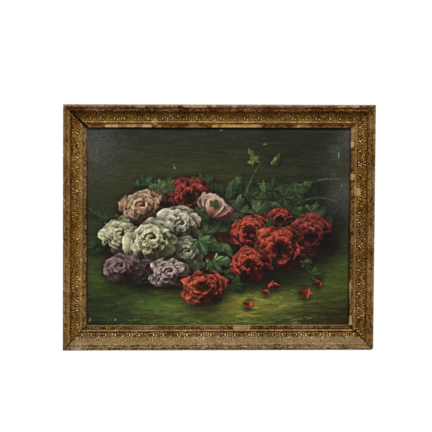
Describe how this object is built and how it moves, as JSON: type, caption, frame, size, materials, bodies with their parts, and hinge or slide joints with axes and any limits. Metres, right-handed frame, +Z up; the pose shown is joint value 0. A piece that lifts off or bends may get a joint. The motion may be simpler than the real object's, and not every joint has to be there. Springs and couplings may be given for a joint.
{
  "type": "framed oil painting",
  "caption": "Wide oil painting on stretched canvas in a deep gilt moulding frame with mitred corners and scroll ornament, made to hang flat on a wall.",
  "frame": {"origin": "middle of the top rail's flat back face, where the picture bears on its wall hook", "axes": "+X to the viewer's right along the picture, +Y into the wall, +Z up; the painting faces -Y"},
  "size_m": [0.71, 0.0499, 0.562],
  "materials": {
    "gilding": "softwood moulding with pressed composition ornament, aged bronze-brown gilding, worn to gesso in places",
    "painted_canvas": "oil paint under aged varnish on linen canvas",
    "pine": "bare pine, darkened with age"
  },
  "bodies": {
    "root": {"rail_top": "gilding", "rail_right": "gilding", "rail_bottom": "gilding", "rail_left": "gilding", "canvas": "painted_canvas", "stretcher_top": "pine", "stretcher_right": "pine", "stretcher_bottom": "pine", "stretcher_left": "pine"}
  },
  "joints": []
}
